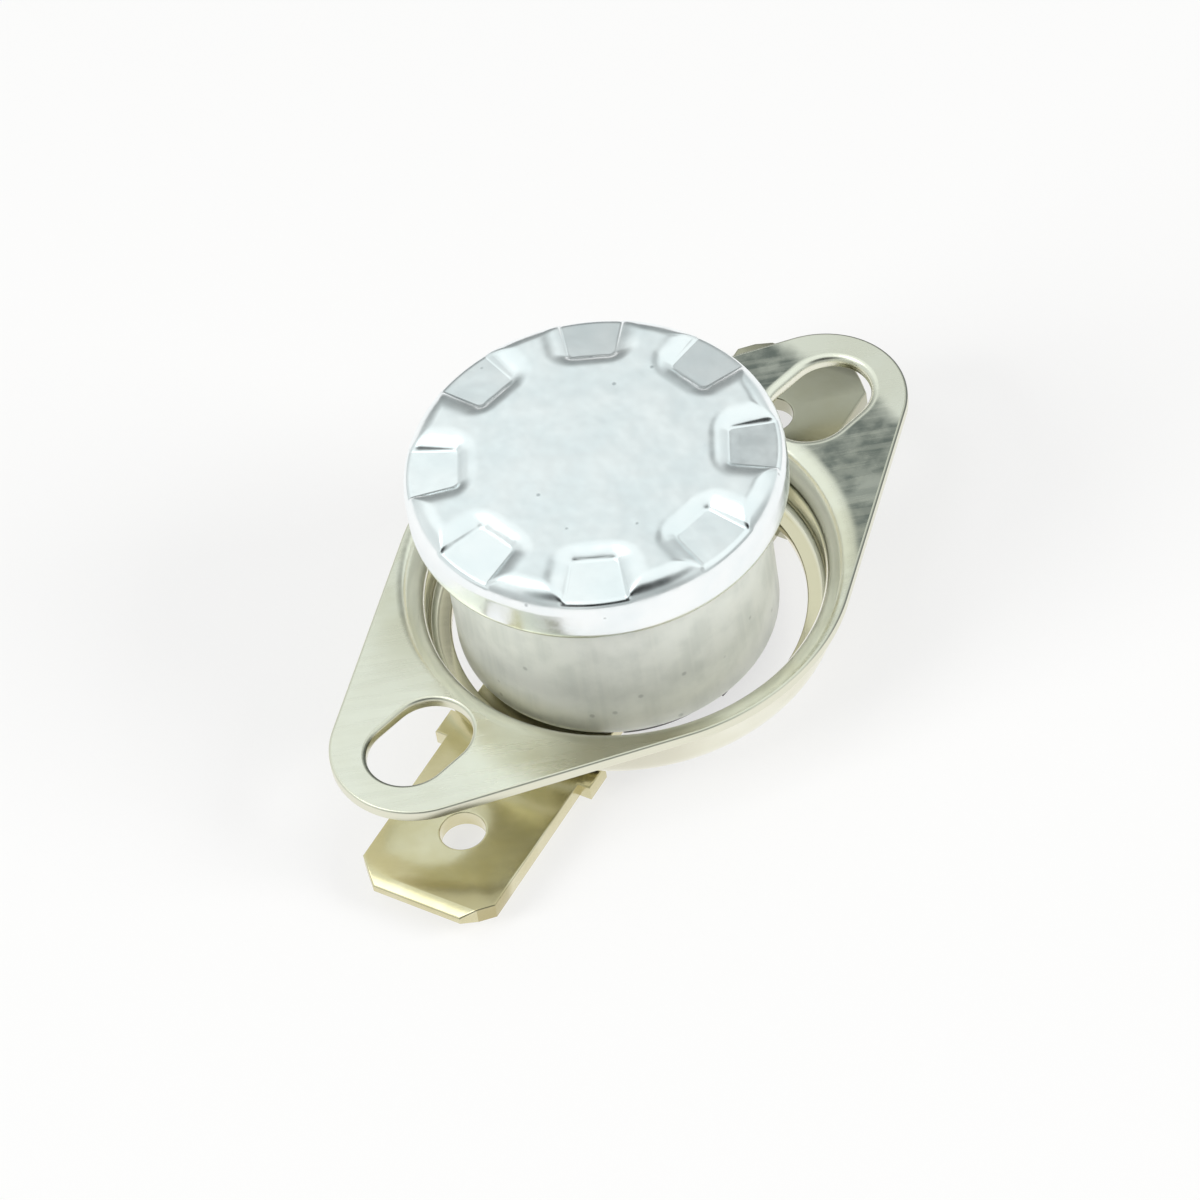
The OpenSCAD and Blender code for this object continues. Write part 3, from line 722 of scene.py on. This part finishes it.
tarnished_rivet = rivet_brass()
upset_edge_r = UPSET_H / 2
for node_name, side in (("arm_rivet", -1), ("contact_rivet", 1)):
    rivet_low, rivet_top = (corner.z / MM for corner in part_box(node_name))
    dimple_z = rivet_low + DIMPLE_H
    upset_z = rivet_top - UPSET_H
    section = [(0, rivet_top)]
    section += arc(UPSET_R - upset_edge_r, rivet_top - upset_edge_r, upset_edge_r, 90, 0, steps=4)
    section += [(UPSET_R, upset_z), (RIVET_R, upset_z), (RIVET_R, blade_low), (HEAD_R, blade_low)]
    section += arc(HEAD_R - HEAD_EDGE_R, rivet_low + HEAD_EDGE_R, HEAD_EDGE_R, 0, -90, steps=8)
    section += arc(DIMPLE_R + DIMPLE_EDGE_R, rivet_low + DIMPLE_EDGE_R, DIMPLE_EDGE_R, -90, -180, steps=5)
    section += arc(DIMPLE_R - DIMPLE_EDGE_R, dimple_z - DIMPLE_EDGE_R, DIMPLE_EDGE_R, 0, 90, steps=4)
    section += [(0, dimple_z)]
    spot = Matrix.Rotation(math.radians(BLADE_ANGLE), 2) @ Vector((RIVET_REACH, BLADE_OFFSET)) * side
    points, faces, _ = revolve(section, RIVET_TURNS, spot)
    rivet = mesh_object(node_name + "_turned", points, faces, tarnished_rivet)
    rivet.data.set_sharp_from_angle(angle=SHARP_EDGE)
    dress(rivet, "housing", node_name)


# Mounting bracket: zinc-plated steel sheet, stamped to two slotted ears and drawn down into a
# collar with an inward lip that turns loosely on the neck. Brushed sheet, yellowish plating.

BRACKET_X = 0.35
BRACKET_Y = -0.28
SHEET_T = 0.5
BRACKET_DEPTH = 3.05
SLOT_SPACING = 24
SLOT_W = 3.5
SLOT_L = 4.8
EAR_R = 3.75
RING_R = 9.65
COLLAR_R = 8.4
COLLAR_EDGE_R = 1.15
LIP_HOLE_R = 7.5
LIP_BEND_R = 0.4
LIP_EDGE_R = 0.06
SHEET_EDGE_R = 0.1
FAR_SLOT_EDGE_R = 0.32
NEAR_SLOT_EDGE_R = 0.16
BURR_R = 0.02
SPOT_MARGIN = 0.03
BRACKET_TURNS = 360
BRACKET_CREASE = math.radians(50)
FILLET_SPLIT = 140  # degrees; the plate is filled down the fillet to here, and turned below it

plate_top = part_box("mounting_bracket")[1].z / MM
plate_low = plate_top - SHEET_T
bracket_low = plate_top - BRACKET_DEPTH
fillet_r = COLLAR_R + COLLAR_EDGE_R
fillet_z = plate_top - COLLAR_EDGE_R
lip_r = COLLAR_R - LIP_BEND_R
lip_top = bracket_low + SHEET_T
ear_x = SLOT_SPACING / 2
slot_half = (SLOT_L - SLOT_W) / 2


def bracket_outline():
    """Points of the outline of ears and ring, anticlockwise."""
    touch = math.acos((RING_R - EAR_R) / ear_x)
    points = []
    for x, radius, start, end, steps in (
            (ear_x, EAR_R, -touch, touch, 48), (0, RING_R, touch, math.pi - touch, 96),
            (-ear_x, EAR_R, math.pi - touch, math.pi + touch, 48),
            (0, RING_R, math.pi + touch, 2 * math.pi - touch, 96)):
        points += [(x + radius * math.cos(a), radius * math.sin(a)) for a in np.linspace(start, end, steps)]
    return points


def plate_height(x, y):
    """Top of the plate, turning down where the fillet of the collar begins."""
    inward = max(0, fillet_r - math.hypot(x, y))
    return fillet_z + math.sqrt(COLLAR_EDGE_R**2 - inward**2)


def flat_underside(x, y):
    """Underside of the plate."""
    return plate_low


section = arc(fillet_r, fillet_z, COLLAR_EDGE_R, FILLET_SPLIT, 180, steps=6)
section += arc(lip_r, lip_top + LIP_BEND_R, LIP_BEND_R, 0, -90, steps=6)
section += arc(LIP_HOLE_R + LIP_EDGE_R, lip_top - LIP_EDGE_R, LIP_EDGE_R, 90, 180, steps=3)
section += arc(LIP_HOLE_R + LIP_EDGE_R, bracket_low + LIP_EDGE_R, LIP_EDGE_R, 180, 270, steps=3)
section += arc(lip_r, lip_top + LIP_BEND_R, LIP_BEND_R + SHEET_T, -90, 0, steps=8)
section += arc(fillet_r, fillet_z, COLLAR_EDGE_R - SHEET_T, 180, 90, steps=10)
points, faces, rings = revolve(section, BRACKET_TURNS)
faces = [face[::-1] for face in faces]
far_slot, near_slot = (stadium(x - slot_half, x + slot_half, SLOT_W / 2, 33)[::-1] for x in (ear_x, -ear_x))
edges_from = len(faces)
rims = [cut_edge(points, faces, loop, plate_height, flat_underside, radius, BURR_R)
        for loop, radius in ((bracket_outline(), SHEET_EDGE_R), (near_slot, NEAR_SLOT_EDGE_R))]
edges_to = len(faces)
rims.append(cut_edge(points, faces, far_slot, plate_height, flat_underside, FAR_SLOT_EDGE_R, BURR_R))
clear = SLOT_W / 2 + FAR_SLOT_EDGE_R + FLAT_MARGIN + SPOT_MARGIN
fillet_start = arc(fillet_r, fillet_z, COLLAR_EDGE_R, 90, FILLET_SPLIT, steps=8)[:-1]
spots = [(x, y, height) for radius, height in fillet_start for x, y in ring(0, 0, radius, BRACKET_TURNS)
         if math.hypot(max(0, abs(abs(x) - ear_x) - slot_half), y) > clear]
fill(points, faces, [rings[0]] + [pair[0] for pair in rims], spots)
fill(points, faces, [rings[-1]] + [pair[1] for pair in rims], way=-1)
points = np.array(points) + np.array([BRACKET_X, BRACKET_Y, 0])

# Plated steel is a pale yellowish metal, brushed slantwise, so its mirror is drawn out and soft.
# The ears are painted paler towards their tips, a painted light, and the front of the ring has a
# painted shade. The far ear is dull and grey, the drawn collar is painted paler, a painted light,
# and the collar is smoother than the sheet. Brush lines are drawn coarser than real ones, to show.

BRUSH_ANGLE = math.radians(-38)
BRUSH_L = 4.0
BRUSH_W = 0.3
BRUSH_H = 2.0
BRUSH_RELIEF = 0.002
PLATING_CLOUD = 3.0
EAR_LIGHT_START = 7.0
EAR_LIGHT_FULL = 11.0
FRONT_SHADE_PLACE = (-6.2, -6.9, plate_top)
FRONT_SHADE_R = 4.4
FRONT_SHADE_CORE_R = 1.2
DULL_START = 6.0
DULL_FULL = 9.0
DULL_FADE = 14.2
DULL_END = 15.2
DULL_WAVER = 2.0
DULL_MOTTLE = 1.2
DULL_COLLAR_FADE = 0.4
DULL_SLOT_FADE = 0.12
DRAWN_FADE = 0.4
COLLAR_LIGHT_FULL = 0.9
LIP_FADE = 0.3


def plated_steel():
    """The material of the bracket's plate and collar."""
    made, place = new_material("plated_steel")
    brush_place = node(made, "Mapping", {
        "Vector": place, "Rotation": (0, 0, BRUSH_ANGLE),
        "Scale": Vector((BRUSH_L, BRUSH_W, BRUSH_H)) * MM}, vector_type="TEXTURE")["Vector"]
    brush = node(made, "TexNoise", {"Vector": brush_place, "Scale": 1, "Detail": 4})["Fac"]
    cloud = node(made, "TexNoise", {"Vector": place, "Scale": 1 / (PLATING_CLOUD * MM), "Detail": 4})["Fac"]
    cloudy = node(made, "MapRange", {"Value": cloud, "From Min": 0.3, "From Max": 0.7},
                  interpolation_type="SMOOTHSTEP")["Result"]
    tone = node(made, "Mix", {"Factor": cloudy, "A": linear("#dedcc5"), "B": linear("#ebebda")},
                data_type="RGBA")["Result"]

    axes = node(made, "SeparateXYZ", {"Vector": place})
    # Painted light: the ears are painted paler towards their tips, which leaves them darker by the collar,
    # where the cup shades them.
    outward = node(made, "Math", {0: axes["X"]}, operation="ABSOLUTE")["Value"]
    ear_tip_light = node(made, "MapRange", {
        "Value": outward, "From Min": EAR_LIGHT_START * MM, "From Max": EAR_LIGHT_FULL * MM,
        "To Min": 0.0, "To Max": 0.55}, interpolation_type="SMOOTHSTEP")["Result"]
    tone = node(made, "Mix", {"Factor": ear_tip_light, "A": tone, "B": linear("#f8f8ea")},
                data_type="RGBA")["Result"]

    # Painted shade: a dark patch on the front of the ring, where the collar mirrors the dark neck.
    from_front_shade = node(made, "VectorMath", {0: place, 1: Vector(FRONT_SHADE_PLACE) * MM},
                       operation="DISTANCE")["Value"]
    front_shade = node(made, "MapRange", {
        "Value": from_front_shade, "From Min": FRONT_SHADE_R * MM, "From Max": FRONT_SHADE_CORE_R * MM,
        "To Min": 0.0, "To Max": 0.7}, interpolation_type="SMOOTHSTEP")["Result"]
    tone = node(made, "Mix", {"Factor": front_shade, "A": tone, "B": linear("#9d9678")},
                data_type="RGBA")["Result"]

    # The dull skin of the far ear: its two ends waver, and it stops short of the collar and the slot.
    waver = node(made, "Math", {0: cloud, 1: DULL_WAVER * MM}, operation="MULTIPLY")["Value"]
    uneven = node(made, "Math", {0: axes["X"], 1: waver}, operation="ADD")["Value"]
    dull = node(made, "MapRange", {
        "Value": uneven, "From Min": DULL_START * MM, "From Max": DULL_FULL * MM},
        interpolation_type="SMOOTHSTEP")["Result"]
    before_tip = node(made, "MapRange", {
        "Value": uneven, "From Min": DULL_END * MM, "From Max": DULL_FADE * MM},
        interpolation_type="SMOOTHSTEP")["Result"]
    flat_place = node(made, "CombineXYZ", {"X": axes["X"], "Y": axes["Y"]})["Vector"]
    from_axis = node(made, "VectorMath", {0: flat_place, 1: Vector((BRACKET_X, BRACKET_Y, 0)) * MM},
                     operation="DISTANCE")["Value"]
    off_collar = node(made, "MapRange", {
        "Value": from_axis, "From Min": fillet_r * MM, "From Max": (fillet_r + DULL_COLLAR_FADE) * MM},
        interpolation_type="SMOOTHSTEP")["Result"]
    brushed = node(made, "MapRange", {
        "Value": brush, "From Min": 0.4, "From Max": 0.65, "To Min": 1.0, "To Max": 0.8},
        interpolation_type="SMOOTHSTEP")["Result"]
    mottle = node(made, "TexNoise", {"Vector": place, "Scale": 1 / (DULL_MOTTLE * MM), "Detail": 6})["Fac"]
    mottled = node(made, "MapRange", {
        "Value": mottle, "From Min": 0.4, "From Max": 0.6, "To Min": 1.0, "To Max": 0.75},
        interpolation_type="SMOOTHSTEP")["Result"]
    slot_x = node(made, "Math", {0: axes["X"], 1: (BRACKET_X + ear_x) * MM}, operation="SUBTRACT")["Value"]
    slot_x = node(made, "Math", {0: slot_x}, operation="ABSOLUTE")["Value"]
    slot_x = node(made, "Math", {0: slot_x, 1: slot_half * MM}, operation="SUBTRACT")["Value"]
    slot_x = node(made, "Math", {0: slot_x, 1: 0.0}, operation="MAXIMUM")["Value"]
    slot_place = node(made, "CombineXYZ", {"X": slot_x, "Y": axes["Y"]})["Vector"]
    from_slot = node(made, "VectorMath", {0: slot_place, 1: (0, BRACKET_Y * MM, 0)},
                     operation="DISTANCE")["Value"]
    slot_edge = SLOT_W / 2 + FAR_SLOT_EDGE_R
    off_slot = node(made, "MapRange", {
        "Value": from_slot, "From Min": slot_edge * MM, "From Max": (slot_edge + DULL_SLOT_FADE) * MM},
        interpolation_type="SMOOTHSTEP")["Result"]
    for share in (before_tip, off_collar, brushed, mottled, off_slot):
        dull = node(made, "Math", {0: dull, 1: share}, operation="MULTIPLY")["Value"]
    tone = node(made, "Mix", {"Factor": dull, "A": tone, "B": linear("#747a73")},
                data_type="RGBA")["Result"]

    # The drawn collar: painted paler down its fillet, a painted light that lifts the shade inside the
    # collar; yellower on the lip, and with half the roughness.
    deep = node(made, "MapRange", {
        "Value": from_axis, "From Min": (fillet_r - DRAWN_FADE) * MM,
        "From Max": (fillet_r - COLLAR_LIGHT_FULL) * MM, "To Min": 0.0, "To Max": 0.8},
        interpolation_type="SMOOTHSTEP")["Result"]
    tone = node(made, "Mix", {"Factor": deep, "A": tone, "B": linear("#f8f6ea")},
                data_type="RGBA")["Result"]
    on_lip = node(made, "MapRange", {
        "Value": from_axis, "From Min": (lip_r + LIP_FADE) * MM, "From Max": lip_r * MM,
        "To Min": 0.0, "To Max": 0.7}, interpolation_type="SMOOTHSTEP")["Result"]
    tone = node(made, "Mix", {"Factor": on_lip, "A": tone, "B": linear("#cdc29a")},
                data_type="RGBA")["Result"]
    drawn = node(made, "MapRange", {
        "Value": from_axis, "From Min": fillet_r * MM, "From Max": (fillet_r - DRAWN_FADE) * MM},
        interpolation_type="SMOOTHSTEP")["Result"]
    smoother = node(made, "MapRange", {"Value": drawn, "To Min": 1.0, "To Max": 0.5},
                    interpolation_type="SMOOTHSTEP")["Result"]
    sheet_rough = node(made, "MapRange", {
        "Value": brush, "From Min": 0.3, "From Max": 0.7, "To Min": 0.22, "To Max": 0.3},
        interpolation_type="SMOOTHSTEP")["Result"]
    rough = node(made, "Math", {0: sheet_rough, 1: smoother}, operation="MULTIPLY")["Value"]
    coat(made, tone, rough, 1, brush, BRUSH_RELIEF)
    return made


# Sheared steel shows on the stamped edges: plated pale over most of the outline, with a painted
# shade in dark grey on the edges that face up and to the far ear.

SHEAR_GRAIN = 0.3
SHEAR_RELIEF = 0.002


def edge_plating_and_shade():
    """The material of the cut edges of outline and near slot."""
    made, place = new_material("edge_plating_and_shade")
    grain = node(made, "TexNoise", {"Vector": place, "Scale": 1 / (SHEAR_GRAIN * MM), "Detail": 3})["Fac"]
    # Painted shade: edges that face up and towards the far ear are painted dark grey by their facing.
    facing = node(made, "SeparateXYZ", {"Vector": node(made, "TexCoord", {})["Normal"]})
    to_far_ear = node(made, "MapRange", {"Value": facing["X"], "From Min": 0.0, "From Max": 0.4},
                      interpolation_type="SMOOTHSTEP")["Result"]
    upward = node(made, "MapRange", {"Value": facing["Z"], "From Min": 0.1, "From Max": 0.3},
                  interpolation_type="SMOOTHSTEP")["Result"]
    edge_shade = node(made, "Math", {0: to_far_ear, 1: upward}, operation="MULTIPLY")["Value"]
    shade_tone = node(made, "Mix", {"Factor": grain, "A": linear("#686b63"), "B": linear("#84877f")},
                data_type="RGBA")["Result"]
    tone = node(made, "Mix", {"Factor": edge_shade, "A": linear("#e6e5d2"), "B": shade_tone},
                data_type="RGBA")["Result"]
    coat(made, tone, 0.3, 1, grain, SHEAR_RELIEF)
    return made


bracket = mesh_object("mounting_bracket_sheet", points, faces, plated_steel())
bracket.data.materials.append(edge_plating_and_shade())
for face in bracket.data.polygons[edges_from:edges_to]:
    face.material_index = 1
bracket.data.set_sharp_from_angle(angle=BRACKET_CREASE)
dress(bracket, "bracket", "mounting_bracket")


# Studio: a white paper floor and a soft white surround, with three softboxes round the object.
# The surround is white to the camera and dimmer as a light. In reflections it has grey gaps, as a
# photographer's tent has, so that the metal has something to mirror from every side.

FLOOR_SIZE = 6000
FLOOR_GLOW = 0.65
FLOOR_MIRRORED = 1.4
SURROUND_LIGHT = 0.4
HORIZON_LEVEL = 0.78


def shown_to_lens(owner, in_reflections=1.0):
    """1 for rays from the camera, in_reflections for mirrored or refracted ones, 0 for other light."""
    path = node(owner, "LightPath", {})
    bent = node(owner, "Math", {0: path["Is Glossy Ray"], 1: path["Is Transmission Ray"]},
                operation="MAXIMUM")["Value"]
    mirrored = node(owner, "Math", {0: bent, 1: in_reflections}, operation="MULTIPLY")["Value"]
    return node(owner, "Math", {0: path["Is Camera Ray"], 1: mirrored}, operation="MAXIMUM")["Value"]


# Floor paper is matt white; it glows a little to the camera, and keeps the object's shadow.
def floor_paper():
    """The material of the floor."""
    made, _ = new_material("floor_paper")
    paper = node(made, "BsdfDiffuse", {"Color": linear("#f6f6f4")})["BSDF"]
    glow = node(made, "Emission", {"Color": linear("#ffffff"), "Strength": 1.0})["Emission"]
    seen = shown_to_lens(made, FLOOR_MIRRORED)
    share = node(made, "Math", {0: seen, 1: FLOOR_GLOW}, operation="MULTIPLY")["Value"]
    mixed = node(made, "MixShader", {0: share, 1: paper, 2: glow})["Shader"]
    node(made, "OutputMaterial", {"Surface": mixed})
    return made


def grey_gap(surround, direction, level, azimuth, elevation, inner, outer, left):
    """Dims the surround to the share left within inner degrees of a place, fading out at outer."""
    turn, rise = math.radians(azimuth), math.radians(elevation)
    middle = (math.cos(turn) * math.cos(rise), math.sin(turn) * math.cos(rise), math.sin(rise))
    toward = node(surround, "VectorMath", {0: direction, 1: middle}, operation="DOT_PRODUCT")["Value"]
    shade = node(surround, "MapRange", {
        "Value": toward, "From Min": math.cos(math.radians(outer)),
        "From Max": math.cos(math.radians(inner)), "To Min": 1.0, "To Max": left},
        interpolation_type="SMOOTHSTEP")["Result"]
    return node(surround, "Math", {0: level, 1: shade}, operation="MULTIPLY")["Value"]


def softbox(name, direction, distance, size, radiance, mirrored):
    """A square lamp that looks at the object from a direction; sizes in millimetres."""
    lamp = bpy.data.lights.new(name, "AREA")
    lamp.shape = "SQUARE"
    lamp.size = size * MM
    lamp.energy = radiance * math.pi * lamp.size**2
    made = bpy.data.objects.new(name, lamp)
    made.location = Vector(direction).normalized() * distance * MM
    made.rotation_euler = Vector(direction).to_track_quat("Z", "Y").to_euler()
    made.visible_glossy = mirrored
    bpy.context.scene.collection.objects.link(made)


floor_z = cad_size[0][2] / MM
reach = FLOOR_SIZE / 2
corners = [(-reach, -reach, floor_z), (reach, -reach, floor_z), (reach, reach, floor_z),
           (-reach, reach, floor_z)]
floor = mesh_object("floor", corners, [(0, 1, 2, 3)], floor_paper())

world = bpy.data.worlds.new("studio")
bpy.context.scene.world = world
world.use_nodes = True
world.node_tree.nodes.clear()
look = node(world, "TexCoord", {})["Generated"]
rise = node(world, "SeparateXYZ", {"Vector": look})["Z"]
level = node(world, "MapRange", {
    "Value": rise, "From Min": 0.03, "From Max": 0.45, "To Min": HORIZON_LEVEL, "To Max": 1.0},
    interpolation_type="SMOOTHSTEP")["Result"]

# A dark gap behind the camera, which darkens the pocket walls and edges that face it.
level = grey_gap(world, look, level, azimuth=232, elevation=49, inner=13, outer=26, left=0.1)
level = grey_gap(world, look, level, azimuth=206, elevation=45, inner=12, outer=24, left=0.15)
level = grey_gap(world, look, level, azimuth=256, elevation=46, inner=10, outer=22, left=0.2)

# Two faint gaps on the far side, which the floors of the right-hand pockets mirror.
level = grey_gap(world, look, level, azimuth=35, elevation=43, inner=5, outer=17, left=0.76)
level = grey_gap(world, look, level, azimuth=33, elevation=48, inner=4, outer=10, left=0.55)

# Grey gaps low down all round, which give steep edges their tone, and the flat face its tone
# when it is seen from other sides.
level = grey_gap(world, look, level, azimuth=52, elevation=10, inner=15, outer=36, left=0.35)
level = grey_gap(world, look, level, azimuth=180, elevation=8, inner=14, outer=34, left=0.6)
level = grey_gap(world, look, level, azimuth=242, elevation=6, inner=18, outer=36, left=0.55)
level = grey_gap(world, look, level, azimuth=306, elevation=10, inner=14, outer=30, left=0.6)
level = grey_gap(world, look, level, azimuth=130, elevation=32, inner=8, outer=24, left=0.76)
level = grey_gap(world, look, level, azimuth=92, elevation=18, inner=8, outer=24, left=0.8)
level = grey_gap(world, look, level, azimuth=2, elevation=18, inner=8, outer=24, left=0.8)
level = grey_gap(world, look, level, azimuth=272, elevation=20, inner=8, outer=24, left=0.8)

soft = node(world, "Background", {"Color": linear("#ffffff"), "Strength": SURROUND_LIGHT})["Background"]
sky = node(world, "Background", {"Color": linear("#f8ffff"), "Strength": level})["Background"]
mixed = node(world, "MixShader", {0: shown_to_lens(world), 1: soft, 2: sky})["Shader"]
node(world, "OutputWorld", {"Surface": mixed})

softbox("softbox_above", (-0.24, 0.34, 0.907), distance=500, size=200, radiance=1.5, mirrored=True)
softbox("softbox_left", (-0.84, 0.273, 0.47), distance=600, size=300, radiance=8, mirrored=False)
softbox("softbox_right", (0.468, -0.749, 0.47), distance=600, size=300, radiance=8, mirrored=False)


# Camera: where the photograph was taken from, about 290 mm away and half-way up to overhead.
# It has a long lens, so both ears look nearly the same size, and it is turned a little to the side.

CAMERA_AIM = (-1.476, -0.735, -7.45)
CAMERA_DISTANCE = 288.77
CAMERA_ELEVATION = math.radians(49.291)
CAMERA_AZIMUTH = math.radians(38.236)
CAMERA_ROLL = math.radians(-9.8)
CAMERA_LENS = 209.0
CAMERA_SENSOR = 36

forward = Vector((math.sin(CAMERA_AZIMUTH) * math.cos(CAMERA_ELEVATION),
                  math.cos(CAMERA_AZIMUTH) * math.cos(CAMERA_ELEVATION), -math.sin(CAMERA_ELEVATION)))
level_right = Vector((math.cos(CAMERA_AZIMUTH), -math.sin(CAMERA_AZIMUTH), 0))
right = level_right * math.cos(CAMERA_ROLL) + level_right.cross(forward) * math.sin(CAMERA_ROLL)
lens = bpy.data.cameras.new("camera")
lens.lens = CAMERA_LENS
lens.sensor_width = CAMERA_SENSOR
camera = bpy.data.objects.new("camera", lens)
turned = Matrix((right, right.cross(forward), -forward)).transposed().to_4x4()
camera.matrix_world = Matrix.Translation((Vector(CAMERA_AIM) - forward * CAMERA_DISTANCE) * MM) @ turned
bpy.context.scene.collection.objects.link(camera)
bpy.context.scene.camera = camera
bpy.context.scene.view_settings.view_transform = "Standard"
